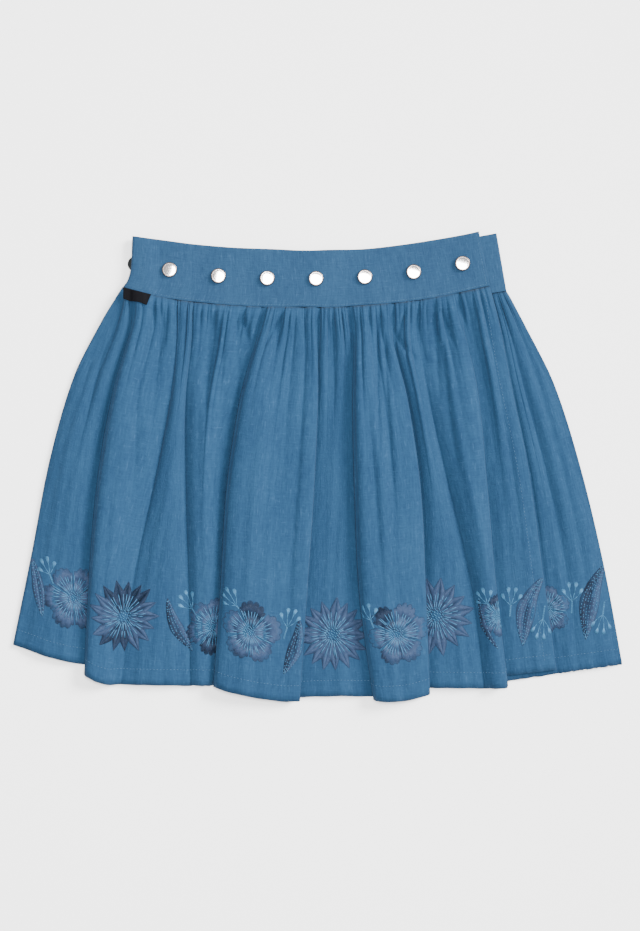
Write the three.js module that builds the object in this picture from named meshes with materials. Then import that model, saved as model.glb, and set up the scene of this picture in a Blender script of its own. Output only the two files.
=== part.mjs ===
import * as THREE from 'three';

// Denim wrap skirt, laid flat and snapped shut, seen from its front.
// Millimetres. +X runs to the right across the skirt, +Y from the hem to the waist, and +Z up
// from the surface that the skirt lies on. X = 0 and Y = 0 are the middle of its outline.

// Driving dimensions
const CLOTH = 1.0;              // wall of a skirt panel
const BAND = 1.8;               // waistband, cloth folded double round its interlining
const SEAM_GAP = 0.3;           // between two pieces that are sewn together
const CAP_DIAMETER = 15;        // press-stud caps
const CAP_HEIGHT = 2.5;
const CAP_PITCH = 48.8;
const FIRST_CAP_X = -148;
const CAP_ABOVE_SEAM = 28.4;
const TAB_WALL = 0.8;           // woven tab

// Heights above the surface, to the middle of each wall
const BACK_BAND_Z = 0.9;
const UNDER_BAND_Z = 3.0;
const FRONT_BAND_Z = 5.1;
const BACK_Z = CLOTH / 2;
const SIDE_SEAM_Z = BACK_Z + CLOTH + SEAM_GAP;
const UNDER_WAIST_Z = UNDER_BAND_Z;
const UNDER_Z = SIDE_SEAM_Z;
const FRONT_WAIST_Z = 4.75;
const FRONT_Z = UNDER_Z + CLOTH + 0.4;
const SETTLED = 0.2;            // share of the length by which a panel has come down from the band
const LIFT = CAP_HEIGHT + SEAM_GAP;   // the band rises over the cap at its left fold
const LIFT_STARTS_X = -156;
const LIFT_ENDS_X = -174;

// Folds
const TURN_RADIUS = 0.75;       // tight inner turn of a fold
const TURN_STEPS = 4;
const WAIST_TUCK = 1.4;
const WAIST_CROWN = 1.2;
const GATHER_HEIGHT = 1.5;
const GATHER_LENGTH = 0.09;     // share of the skirt's length in which a gather dies away
const POINTS_PER_GATHER = 3;

// Every line and edge is given across the skirt, in mm from the middle, at these shares of the
// length from the waist seam (0) to the hem (1).
const STATIONS = [0, 0.1, 0.25, 0.48, 0.74, 1];
const LEFT_SIDE = [-195, -217, -244, -268, -286, -305];
const RIGHT_SIDE = [189, 209, 237, 264, 287, 305];
const WRAP_EDGE = [172, 182, 193, 211, 225, 239];

// Rows of points down a panel, as shares of its length
const ROWS = [0, 0.025, 0.06, 0.11, 0.18, 0.27, 0.38, 0.5, 0.63, 0.76, 0.89, 1];
const BACK_ROWS = [0, 0.04, 0.1, 0.2, 0.5, 1];

// Lines of the over-lap front from its side seam to its free wrap edge.
// kind: seam, valley, free, over (the cloth on the right lies on top) or under (the left does).
// x: place at STATIONS. hem: y of the hem left and right of the line. rise: height of a valley
// over the cloth below. tuck: depth hidden in a fold at the hem. round: radius of the fold's full
// edge. Then for the span on its right: gathers, crown height at mid length and at the hem, and
// how far its hem bows out.
const FRONT_LINES = [
  { kind: 'seam', x: LEFT_SIDE, hem: [-178, -178], gathers: 1, crown: [4.5, 3], bow: 2 },
  {
    kind: 'over', x: [-184, -187, -203, -219, -228, -233], hem: [-198, -209],
    tuck: 20, round: 1.9, gathers: 5, crown: [6.5, 4], bow: 3,
  },
  {
    kind: 'valley', x: [-140, -141, -147, -164, -185, -197], hem: [-218, -218],
    rise: 0, gathers: 2, crown: [5, 3], bow: 0,
  },
  {
    kind: 'valley', x: [-124, -126, -132, -132, -129, -127], hem: [-219, -219],
    rise: 0, gathers: 9, crown: [6.5, 3], bow: 0,
  },
  {
    kind: 'over', x: [-53, -63, -78, -91, -97, -104], hem: [-219, -220],
    tuck: 24, round: 2.1, gathers: 5, crown: [6.5, 4.5], bow: 2,
  },
  {
    kind: 'valley', x: [-13, -13, -16, -22, -28, -31], hem: [-235, -235],
    rise: 5, gathers: 2, crown: [2.5, 2], bow: 0,
  },
  {
    kind: 'under', x: [0, 0, 0, -4, -11, -18], hem: [-234, -231],
    tuck: 22, round: 1.9, gathers: 4, crown: [1.6, 1.4], bow: -1,
  },
  {
    kind: 'over', x: [32, 36, 35, 37, 42, 56], hem: [-230, -233.5],
    tuck: 20, round: 1.9, gathers: 5, crown: [6, 4.5], bow: 3,
  },
  {
    kind: 'under', x: [74, 76, 90, 103, 108, 112], hem: [-228, -221],
    tuck: 20, round: 1.9, gathers: 3, crown: [4, 2.5], bow: 0,
  },
  {
    kind: 'valley', x: [102, 102, 111, 131, 154, 167], hem: [-222, -222],
    rise: 0, gathers: 5, crown: [5, 3], bow: 0,
  },
  {
    kind: 'under', x: [139, 147, 160, 169, 178, 190], hem: [-221, -209],
    tuck: 12, round: 1.7, gathers: 4, crown: [2.4, 1.6], bow: 0,
  },
  { kind: 'free', x: WRAP_EDGE, hem: [-203, -203] },
];

// Lines of the under-lap front, from its hidden free edge to the right side seam. Its hidden
// stretch is flat and has that many columns.
const UNDER_LINES = [
  {
    kind: 'free', x: [-150, -160, -178, -200, -220, -238], hem: [-192, -192],
    flat: 14, crown: [0, 0], bow: 13,
  },
  {
    kind: 'valley', x: [131, 139, 152, 161, 170, 182], hem: [-216, -216],
    rise: 0, flat: 3, crown: [0, 0], bow: 0,
  },
  {
    kind: 'valley', x: WRAP_EDGE.map((x) => x + 3), hem: [-207, -207],
    rise: 0, gathers: 1, crown: [2, 2], bow: 0,
  },
  {
    kind: 'valley', x: [180, 192, 206, 229, 249, 261], hem: [-204, -204],
    rise: 0, gathers: 1, crown: [4, 3], bow: 0,
  },
  {
    kind: 'valley', x: [185, 201, 222, 246, 268, 282], hem: [-201, -201],
    rise: 0, gathers: 1, crown: [4, 3], bow: 0,
  },
  { kind: 'seam', x: RIGHT_SIDE, hem: [-198, -198] },
];

// Cut of the back, hidden behind the fronts
const BACK_GATHERS = 27;
const BACK_GATHER_HEIGHT = 0.8;
const BACK_HEM = { left: -176.5, right: -196, bow: 24 };

// Small sums
function blend(a, b, t) {
  return a + (b - a) * t;
}

function ease(t) {
  const k = THREE.MathUtils.clamp(t, 0, 1);
  return k * k * (3 - 2 * k);
}

function uneven(number) {
  const wave = Math.sin(number * 12.9898) * 43758.5453;
  return wave - Math.floor(wave);
}

// A smooth curve through one value for each station
function along(values, share) {
  const last = STATIONS.length - 1;
  const i = Math.min(last - 1, STATIONS.filter((s) => s <= share).length - 1);
  const slope = (k) => {
    const before = Math.max(0, k - 1);
    const after = Math.min(last, k + 1);
    return (values[after] - values[before]) / (STATIONS[after] - STATIONS[before]);
  };
  const step = STATIONS[i + 1] - STATIONS[i];
  const t = (share - STATIONS[i]) / step;
  return (1 - t) ** 2 * (1 + 2 * t) * values[i] + t ** 2 * (3 - 2 * t) * values[i + 1]
    + t * (1 - t) ** 2 * step * slope(i) - t ** 2 * (1 - t) * step * slope(i + 1);
}

// The waist seam and the top of the band sag in the middle, the hidden layers a little less
const WAIST_SEAM_Y = 159.6;
const WAIST_TOP_Y = 216.4;
const LEFT_SAG = 2.69e-6;

function seamY(x, layer) {
  if (x < 0) return WAIST_SEAM_Y + LEFT_SAG * Math.abs(x) ** 3;
  return WAIST_SEAM_Y + (layer === 'front' ? 7.2e-4 : 4.6e-4) * x * x;
}

function topY(x, layer) {
  if (x < 0) return WAIST_TOP_Y + 4.1e-4 * x * x;
  return WAIST_TOP_Y + (layer === 'front' ? 7.4e-4 : 5.4e-4) * x * x;
}

function lift(x, share = 0) {
  const across = ease((LIFT_STARTS_X - x) / (LIFT_STARTS_X - LIFT_ENDS_X));
  return LIFT * across * (1 - ease(share / SETTLED));
}

// A closed wall with its middle surface on a grid of points, rows down and columns across.
// Each row is a section in X and Z, and the wall's two faces stand off square to it.
function wall(rows, thickness) {
  const across = rows[0].length;
  const positions = [];
  for (const side of [1, -1]) {
    for (const row of rows) {
      row.forEach((p, c) => {
        const a = row[Math.max(0, c - 1)];
        const b = row[Math.min(across - 1, c + 1)];
        const before = new THREE.Vector2(p.x - a.x, p.z - a.z).normalize();
        const after = new THREE.Vector2(b.x - p.x, b.z - p.z).normalize();
        const run = before.add(after).normalize();
        const off = side * thickness / 2;
        positions.push(p.x - run.y * off, p.y, p.z + run.x * off);
      });
    }
  }
  const count = rows.length * across;
  const index = [];
  const quad = (a, b, c, d) => index.push(a, b, c, a, c, d);
  for (let r = 0; r < rows.length - 1; r += 1) {
    for (let c = 0; c < across - 1; c += 1) {
      const a = r * across + c;
      const d = a + across;
      quad(a, d, d + 1, a + 1);
      quad(count + a, count + a + 1, count + d + 1, count + d);
    }
  }
  const rim = [];
  for (let c = 0; c < across - 1; c += 1) rim.push(c);
  for (let r = 0; r < rows.length - 1; r += 1) rim.push(r * across + across - 1);
  for (let c = across - 1; c > 0; c -= 1) rim.push((rows.length - 1) * across + c);
  for (let r = rows.length - 1; r > 0; r -= 1) rim.push(r * across);
  rim.forEach((a, i) => {
    const b = rim[(i + 1) % rim.length];
    quad(a, b, count + b, count + a);
  });
  return closedMesh(positions, index);
}

function closedMesh(positions, index) {
  const geometry = new THREE.BufferGeometry();
  geometry.setAttribute('position', new THREE.Float32BufferAttribute(positions, 3));
  let volume = 0;
  const corner = (k) => new THREE.Vector3().fromArray(positions, 3 * index[k]);
  for (let k = 0; k < index.length; k += 3) {
    volume += corner(k).dot(corner(k + 1).cross(corner(k + 2)));
  }
  if (volume < 0) index.reverse();
  geometry.setIndex(index);
  geometry.computeVertexNormals();
  return geometry;
}

// Skirt panels

// Full radius of a fold's edge: small at the waist, largest at mid length
function edgeRadius(line, share) {
  const opened = ease(share / 0.35);
  const pressed = 1 - 0.35 * ease((share - 0.6) / 0.4);
  return blend(TURN_RADIUS, line.round * pressed, opened);
}

function topOfFold(line, share) {
  return 2 * TURN_RADIUS + 2 * edgeRadius(line, share);
}

// Points of a fold, from its low layer through the hidden turn and the full edge to its top
// layer, for cloth that lies on top on the right
function foldPoints(line, share) {
  const radius = edgeRadius(line, share);
  const tuck = blend(WAIST_TUCK, line.tuck, ease(share * 1.15)) + radius - TURN_RADIUS;
  const points = [[-1.5, 0]];
  for (let k = 0; k <= TURN_STEPS; k += 1) {
    const angle = Math.PI * (k / TURN_STEPS - 0.5);
    points.push([tuck + TURN_RADIUS * Math.cos(angle), TURN_RADIUS * (1 + Math.sin(angle))]);
  }
  for (let k = 0; k <= TURN_STEPS; k += 1) {
    const angle = Math.PI * (k / TURN_STEPS - 0.5);
    points.push([radius * (1 - Math.cos(angle)), 2 * TURN_RADIUS + radius * (1 + Math.sin(angle))]);
  }
  return points;
}

// One line of a panel as points with x, z and the hem's y. ends gives its level on each side.
function linePoints(line, share, panel) {
  const x = along(line.x, share);
  const low = panel.level(share);
  if (line.kind === 'over' || line.kind === 'under') {
    const over = line.kind === 'over';
    const points = foldPoints(line, share);
    const steps = points.length - 1;
    const run = points.map(([dx, dz], k) => ({
      x: x + (over ? dx : -dx),
      z: low + dz,
      hem: blend(line.hem[over ? 0 : 1], line.hem[over ? 1 : 0], k / steps),
    }));
    if (!over) run.reverse();
    return run;
  }
  const rise = (line.rise ?? 0) * ease(share / 0.35);
  const z = line.kind === 'seam' ? SIDE_SEAM_Z : low + rise;
  return [{ x, z, hem: line.hem[0] }];
}

// Points of the cloth between two lines: a rounded crown, gathered where it meets the band
function spanPoints(line, from, to, share, panel) {
  const gathers = line.gathers ?? 0;
  const columns = line.flat ?? gathers * POINTS_PER_GATHER;
  const mid = blend(WAIST_CROWN * Math.sign(gathers), line.crown[0], ease(share / 0.35));
  const crown = blend(mid, line.crown[1], ease((share - 0.5) / 0.5));
  const points = [];
  for (let k = 1; k < columns; k += 1) {
    const s = k / columns;
    const number = Math.floor(k / POINTS_PER_GATHER) + panel.seed + line.x[0];
    const length = GATHER_LENGTH * blend(0.5, 1.9, uneven(number));
    const height = GATHER_HEIGHT * blend(0.6, 1.0, uneven(number + 0.5)) * Math.sign(gathers);
    const puff = k % POINTS_PER_GATHER === 0 ? 0 : height * Math.exp(-((share / length) ** 2));
    const dome = crown * Math.sin(Math.PI * s) ** 0.75;
    points.push({
      x: blend(from.x, to.x, s),
      z: blend(from.z, to.z, ease(s)) + dome + puff,
      hem: blend(from.hem, to.hem, s) - line.bow * Math.sin(Math.PI * s),
    });
  }
  return points;
}

function panelSection(lines, share, panel) {
  const runs = lines.map((line) => linePoints(line, share, panel));
  const points = [];
  runs.forEach((run, i) => {
    points.push(...run);
    if (i < runs.length - 1) {
      points.push(...spanPoints(lines[i], run.at(-1), runs[i + 1][0], share, panel));
    }
  });
  return points;
}

function panelGrid(lines, panel) {
  const waist = panelSection(lines, 0, panel);
  return ROWS.map((share) => panelSection(lines, share, panel).map((p, c) => ({
    x: p.x,
    y: blend(seamY(waist[c].x, panel.layer) - SEAM_GAP, p.hem, share),
    z: p.z + lift(p.x, share),
  })));
}

const frontGrid = panelGrid(FRONT_LINES, {
  layer: 'front',
  seed: 3,
  level: (share) => blend(FRONT_WAIST_Z, FRONT_Z, ease(share / SETTLED)),
});

const underGrid = panelGrid(UNDER_LINES, {
  layer: 'under',
  seed: 11,
  level: (share) => blend(UNDER_WAIST_Z, UNDER_Z, ease(share / SETTLED)),
});

const backGrid = BACK_ROWS.map((share) => {
  const columns = BACK_GATHERS * POINTS_PER_GATHER;
  const row = [];
  for (let k = 0; k <= columns; k += 1) {
    const s = k / columns;
    const waistX = blend(LEFT_SIDE[0], RIGHT_SIDE[0], s);
    const x = blend(along(LEFT_SIDE, share), along(RIGHT_SIDE, share), s);
    const hem = blend(BACK_HEM.left, BACK_HEM.right, s) - BACK_HEM.bow * Math.sin(Math.PI * s);
    const puff = k % POINTS_PER_GATHER === 0 ? 0 : BACK_GATHER_HEIGHT;
    row.push({
      x,
      y: blend(seamY(waistX, 'back') - SEAM_GAP, hem, share),
      z: BACK_Z + lift(x, share) + puff * Math.exp(-((share / GATHER_LENGTH) ** 2)),
    });
  }
  return row;
});

// Waistband: one strip, wound from its hidden under-lap end round the right side, along the back
// and round the left side to the free end on the front. height runs 0 at the seam to 1 at the top.
const BAND_HEIGHTS = [0, 0.25, 0.5, 0.75, 1];
const BAND_RIGHT = { seam: 189.2, top: 179.2 };
const BAND_FREE_END = { seam: 172.4, top: 161.1 };
const UNDER_LAP_END_X = -152;
const BAND_STEPS = 12;
const BAND_LIFT_STEPS = 6;
const BAND_TURN_STEPS = 8;

function bandLeft(height) {
  return -187 + 1.7 * height - 7.8 * (1 - height) ** 6;
}

function bandSection(height) {
  const left = bandLeft(height);
  const right = blend(BAND_RIGHT.seam, BAND_RIGHT.top, height);
  const end = blend(BAND_FREE_END.seam, BAND_FREE_END.top, height);
  const points = [];
  const rightTurn = (UNDER_BAND_Z - BACK_BAND_Z) / 2;
  const leftTurn = (FRONT_BAND_Z - BACK_BAND_Z) / 2;
  const rightX = right - BAND / 2 - rightTurn;
  const leftX = left + BAND / 2 + leftTurn;
  const flat = (from, to, steps, z, layer) => {
    for (let k = 0; k < steps; k += 1) points.push({ x: blend(from, to, k / steps), z, layer });
  };
  const turn = (x, z, radius, start, sweep, layer) => {
    for (let k = 0; k < BAND_TURN_STEPS; k += 1) {
      const angle = start + sweep * (k / BAND_TURN_STEPS);
      points.push({ x: x + radius * Math.cos(angle), z: z + radius * Math.sin(angle), layer });
    }
  };
  flat(UNDER_LAP_END_X, rightX, BAND_STEPS, UNDER_BAND_Z, 'under');
  turn(rightX, BACK_BAND_Z + rightTurn, rightTurn, Math.PI / 2, -Math.PI, 'under');
  flat(rightX, LIFT_STARTS_X, BAND_STEPS, BACK_BAND_Z, 'back');
  flat(LIFT_STARTS_X, LIFT_ENDS_X, BAND_LIFT_STEPS, BACK_BAND_Z, 'back');
  flat(LIFT_ENDS_X, leftX, 1, BACK_BAND_Z, 'back');
  turn(leftX, BACK_BAND_Z + leftTurn, leftTurn, -Math.PI / 2, -Math.PI, 'front');
  flat(leftX, LIFT_ENDS_X, 1, FRONT_BAND_Z, 'front');
  flat(LIFT_ENDS_X, LIFT_STARTS_X, BAND_LIFT_STEPS, FRONT_BAND_Z, 'front');
  flat(LIFT_STARTS_X, end, BAND_STEPS, FRONT_BAND_Z, 'front');
  points.push({ x: end, z: FRONT_BAND_Z, layer: 'front' });
  return points;
}

const seamSection = bandSection(0);
const topSection = bandSection(1);
const bandGrid = BAND_HEIGHTS.map((height) => bandSection(height).map((p, c) => ({
  x: p.x,
  y: blend(seamY(seamSection[c].x, p.layer), topY(topSection[c].x, p.layer), height),
  z: p.z + lift(p.x),
})));

// Press-stud cap: a pressed metal dome, flat in the middle, with a rolled rim
function capGeometry() {
  const radius = CAP_DIAMETER / 2;
  const profile = [
    [0, 0],
    [radius * 0.9, 0],
    [radius, CAP_HEIGHT * 0.25],
    [radius * 0.96, CAP_HEIGHT * 0.55],
    [radius * 0.72, CAP_HEIGHT * 0.9],
    [radius * 0.4, CAP_HEIGHT],
    [0, CAP_HEIGHT],
  ].map(([r, z]) => new THREE.Vector2(r, z));
  const geometry = new THREE.LatheGeometry(profile, 16);
  geometry.rotateX(Math.PI / 2);
  return geometry;
}

// Woven tab, caught in the waist seam: it follows the front panel's points, moved out
const TAB = { left: -193.6, right: -165.8, lowerRight: -170.2, length: 11.3, columns: 8, reach: 4 };

function tabGrid() {
  const near = frontGrid.slice(0, 3).flat();
  const rows = [];
  for (const share of [0, 0.5, 1]) {
    const row = [];
    for (let k = 0; k <= TAB.columns; k += 1) {
      const s = k / TAB.columns;
      const x = blend(TAB.left, blend(TAB.right, TAB.lowerRight, share), s);
      const beside = near.filter((p) => Math.abs(p.x - x) < TAB.reach);
      const crest = Math.max(...beside.map((p) => p.z));
      row.push({
        x,
        y: seamY(x, 'front') - 2 * SEAM_GAP - TAB.length * share,
        z: crest + CLOTH / 2 + SEAM_GAP + TAB_WALL / 2,
      });
    }
    rows.push(row);
  }
  return rows;
}

// Materials
const denim = { color: 0x4a7aa3, roughness: 0.9, metalness: 0 };
const bandDenim = { color: 0x47739a, roughness: 0.88, metalness: 0 };
const metal = { color: 0xc9cbcc, roughness: 0.25, metalness: 1 };
const blackTape = { color: 0x17181b, roughness: 0.8, metalness: 0 };

const skirt = new THREE.Group();

function addPiece(name, geometry, finish) {
  const piece = new THREE.Mesh(geometry, new THREE.MeshStandardMaterial(finish));
  piece.name = name;
  skirt.add(piece);
  return piece;
}

addPiece('skirt_back', wall(backGrid, CLOTH), denim);
addPiece('skirt_under_front', wall(underGrid, CLOTH), denim);
addPiece('skirt_front', wall(frontGrid, CLOTH), denim);
addPiece('waistband', wall(bandGrid, BAND), bandDenim);
addPiece('seam_tab', wall(tabGrid(), TAB_WALL), blackTape);

const FRONT_CAPS = 7;
for (let number = 0; number < FRONT_CAPS; number += 1) {
  const cap = addPiece(`snap_cap_${number + 1}`, capGeometry(), metal);
  const x = FIRST_CAP_X + CAP_PITCH * number;
  const z = FRONT_BAND_Z + BAND / 2 + SEAM_GAP + lift(x - CAP_DIAMETER / 2);
  cap.position.set(x, seamY(x, 'front') + CAP_ABOVE_SEAM, z);
}

// The eighth cap is just round the left fold, face down under the band, with its rim showing
const SIDE_CAP = { x: -182.8, y: 203 };
const sideCap = addPiece(`snap_cap_${FRONT_CAPS + 1}`, capGeometry(), metal);
sideCap.rotation.x = Math.PI;
sideCap.position.set(SIDE_CAP.x, SIDE_CAP.y, CAP_HEIGHT);

export default skirt;
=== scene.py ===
import bpy
import math
import numpy as np
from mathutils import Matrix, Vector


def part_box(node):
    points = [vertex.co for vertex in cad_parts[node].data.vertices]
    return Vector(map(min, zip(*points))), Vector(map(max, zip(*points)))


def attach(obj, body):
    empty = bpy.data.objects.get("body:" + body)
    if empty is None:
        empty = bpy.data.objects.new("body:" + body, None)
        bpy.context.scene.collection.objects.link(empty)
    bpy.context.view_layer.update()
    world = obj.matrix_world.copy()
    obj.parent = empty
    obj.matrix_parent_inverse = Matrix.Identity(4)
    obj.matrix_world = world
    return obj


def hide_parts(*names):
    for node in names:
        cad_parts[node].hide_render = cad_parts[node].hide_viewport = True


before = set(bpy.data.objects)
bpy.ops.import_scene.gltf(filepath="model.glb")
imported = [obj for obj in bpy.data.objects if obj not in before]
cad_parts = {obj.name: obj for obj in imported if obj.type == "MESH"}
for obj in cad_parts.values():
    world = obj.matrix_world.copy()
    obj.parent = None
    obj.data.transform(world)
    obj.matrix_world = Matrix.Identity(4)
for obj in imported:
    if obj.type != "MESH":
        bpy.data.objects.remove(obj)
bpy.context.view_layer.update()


# Camera: two metres straight above the skirt. The picture is 640 by 931 pixels and a pixel is a
# millimetre on the skirt, whose middle shows at pixel 317.65, 466.65.
PICTURE = (640, 931)
METRES_PER_PIXEL = 0.001
CAMERA_HEIGHT = 2.0
CLOTH_HEIGHT = 0.005
MIDDLE_PIXEL = (317.65, 466.65)
SENSOR = 36.0

camera_x = (PICTURE[0] / 2 - MIDDLE_PIXEL[0]) * METRES_PER_PIXEL
camera_y = (MIDDLE_PIXEL[1] - PICTURE[1] / 2) * METRES_PER_PIXEL
bpy.ops.object.camera_add(location=(camera_x, camera_y, CAMERA_HEIGHT), rotation=(0, 0, 0))
camera = bpy.context.object
camera.name = "camera"
camera.data.sensor_width = SENSOR
camera.data.lens = SENSOR * (CAMERA_HEIGHT - CLOTH_HEIGHT) / (PICTURE[1] * METRES_PER_PIXEL)
camera.data.clip_start = 0.05
bpy.context.scene.camera = camera


# The surface that the skirt lies on: plain, pale and matt, just under the skirt.
class Wire:
    """One output of a node: a sum on it adds the Math node that works it out."""

    def __init__(self, finish, socket):
        self.finish = finish
        self.socket = socket

    def maths(self, operation, first, second):
        return self.finish.node("ShaderNodeMath", {"operation": operation}, {0: first, 1: second})

    def __add__(self, other):
        return self.maths("ADD", self, other)

    def __mul__(self, other):
        return self.maths("MULTIPLY", self, other)


class Finish:
    """A material and the nodes that it is made of."""

    def __init__(self, name, **constants):
        self.material = bpy.data.materials.new(name)
        self.material.use_nodes = True
        self.tree = self.material.node_tree
        self.shader = self.tree.nodes["Principled BSDF"]
        for socket, value in constants.items():
            self.shader.inputs[socket.replace("_", " ")].default_value = value

    def node(self, kind, settings, values, output=0):
        made = self.tree.nodes.new(kind)
        for name, setting in settings.items():
            if name == "stops":
                ramp = made.color_ramp
                while len(ramp.elements) < len(setting):
                    ramp.elements.new(0.5)
                for stop, (place, shade) in zip(ramp.elements, setting):
                    stop.position = place
                    stop.color = (shade, shade, shade, 1)
            else:
                setattr(made, name, setting)
        for name, value in values.items():
            if isinstance(value, Wire):
                self.tree.links.new(value.socket, made.inputs[name])
            else:
                made.inputs[name].default_value = value
        return Wire(self, made.outputs[output])

    def feed(self, socket, wire):
        self.tree.links.new(wire.socket, self.shader.inputs[socket])

    def mix(self, share, first, second):
        """A colour between two others, by share."""
        first = first if isinstance(first, Wire) else (*first, 1)
        second = second if isinstance(second, Wire) else (*second, 1)
        values = {0: share, 6: first, 7: second}
        return self.node("ShaderNodeMix", {"data_type": "RGBA"}, values, output=2)

    def noise(self, place, scale, detail=2.0, roughness=0.5):
        """Noise from 0 to 1, stretched by a scale for each direction."""
        stretched = self.node("ShaderNodeMapping", {}, {"Vector": place, "Scale": scale})
        values = {"Vector": stretched, "Scale": 1.0, "Detail": detail, "Roughness": roughness}
        return self.node("ShaderNodeTexNoise", {}, values)

    def place(self):
        """Where a point of the piece lies, in metres."""
        return self.node("ShaderNodeTexCoord", {}, {}, output=3)

    def ramp(self, value, *stops):
        return self.node("ShaderNodeValToRGB", {"stops": stops}, {0: value})

    def bump(self, height, strength, distance):
        values = {"Height": height, "Strength": strength, "Distance": distance}
        return self.node("ShaderNodeBump", {}, values)


SURFACE_SIZE = 6.0
SURFACE_DROP = 0.0004
bpy.ops.mesh.primitive_plane_add(size=SURFACE_SIZE, location=(0, 0, -SURFACE_DROP))
surface = bpy.context.object
surface.name = "surface"
surface_finish = Finish("surface_paint", Roughness=0.85)
mottle = surface_finish.noise(surface_finish.place(), (3.0, 3.0, 3.0))
surface_finish.feed("Base Color", surface_finish.mix(mottle, (0.91, 0.91, 0.91), (0.93, 0.93, 0.93)))
surface.data.materials.append(surface_finish.material)


# Light: pale walls all round, a soft box overhead, a little turned, whose image fills the tops of
# the middle snap caps, and a low broad light from the right that shades the folds.
WALLS_LIGHT = 1.25
OVERHEAD = {"place": (0.07, 0.163, 2.1), "size": (0.70, 0.60), "turn": -14, "watts": 86}
SIDE_LIGHT = {"from": (0.85, 0.45, 0.55), "strength": 10.0, "spread": 24}

world = bpy.context.scene.world or bpy.data.worlds.new("world")
bpy.context.scene.world = world
world.use_nodes = True
world.node_tree.nodes["Background"].inputs["Color"].default_value = (1.0, 1.0, 1.0, 1)
world.node_tree.nodes["Background"].inputs["Strength"].default_value = WALLS_LIGHT
bpy.ops.object.light_add(type="AREA", location=OVERHEAD["place"])
overhead = bpy.context.object
overhead.name = "overhead"
overhead.data.shape = "RECTANGLE"
overhead.data.size, overhead.data.size_y = OVERHEAD["size"]
overhead.rotation_euler[2] = math.radians(OVERHEAD["turn"])
overhead.data.energy = OVERHEAD["watts"]
bpy.ops.object.light_add(type="SUN", location=SIDE_LIGHT["from"])
side_light = bpy.context.object
side_light.name = "side_light"
side_light.data.energy = SIDE_LIGHT["strength"]
side_light.data.angle = math.radians(SIDE_LIGHT["spread"])
side_light.rotation_euler = (-side_light.location).to_track_quat("-Z", "Y").to_euler()


# Back panel: gathered denim between the two side seams, lying on the surface with its outside
# down. It is a shell 0.6 mm thick, flat but for the gathers that rise at its seam.
MM = 0.001
SHELL = 0.6
BACK_Z = 0.5
SIDE_SEAM_Z = 1.8
SEAM_GAP = 0.1
LIFT = 2.8
LIFT_FROM_X = -156.0
LIFT_TO_X = -174.0
SETTLED = 0.2
STATIONS = [0, 0.1, 0.25, 0.48, 0.74, 1]
TOP_WITHIN = 1.5
TOP_SLOPE = 0.35
LEFT_SIDE = [-195, -217, -244, -268, -286, -305]
RIGHT_SIDE = [189, 209, 237, 264, 287, 305]


def blend(a, b, t):
    return a + (b - a) * t


def ease(t):
    k = np.clip(t, 0.0, 1.0)
    return k * k * (3 - 2 * k)


def along(values, share):
    """A smooth curve through one value for each station, at one or many shares."""
    share = np.asarray(share, float)
    values = np.asarray(values, float)
    places = np.asarray(STATIONS, float)
    last = len(places) - 1
    i = np.clip(np.searchsorted(places, share, side="right") - 1, 0, last - 1)
    before = np.maximum(i - 1, 0)
    after = np.minimum(i + 2, last)
    step = places[i + 1] - places[i]
    slope_in = (values[i + 1] - values[before]) / (places[i + 1] - places[before])
    slope_out = (values[after] - values[i]) / (places[after] - places[i])
    t = (share - places[i]) / step
    return ((1 - t) ** 2 * (1 + 2 * t) * values[i] + t ** 2 * (3 - 2 * t) * values[i + 1]
            + t * (1 - t) ** 2 * step * slope_in - t ** 2 * (1 - t) * step * slope_out)


def seam_y(x, layer):
    """The waist seam sags in the middle, a little less in the hidden layers."""
    right = 7.2e-4 if layer == "front" else 4.6e-4
    return 159.6 + np.where(x < 0, 2.69e-6 * np.abs(x) ** 3, right * x * x)


def lift(x, share=0.0):
    """The band and the cloth next to it rise over the cap that lies under the left fold."""
    across = ease((LIFT_FROM_X - x) / (LIFT_FROM_X - LIFT_TO_X))
    return LIFT * across * (1 - ease(share / SETTLED))


def ripple(across, down, waves, seed):
    """Soft uneven waves that run down the cloth, from -1 to 1."""
    dice = np.random.default_rng(seed)
    total = 0
    for count in waves:
        turn, lean, curl = dice.uniform(-1, 1, 3)
        bend = 0.35 * lean * down + 0.12 * np.sin(4 * down + 5 * curl)
        total = total + np.sin(2 * math.pi * (count * across + turn + bend))
    return total / len(waves)


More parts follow.
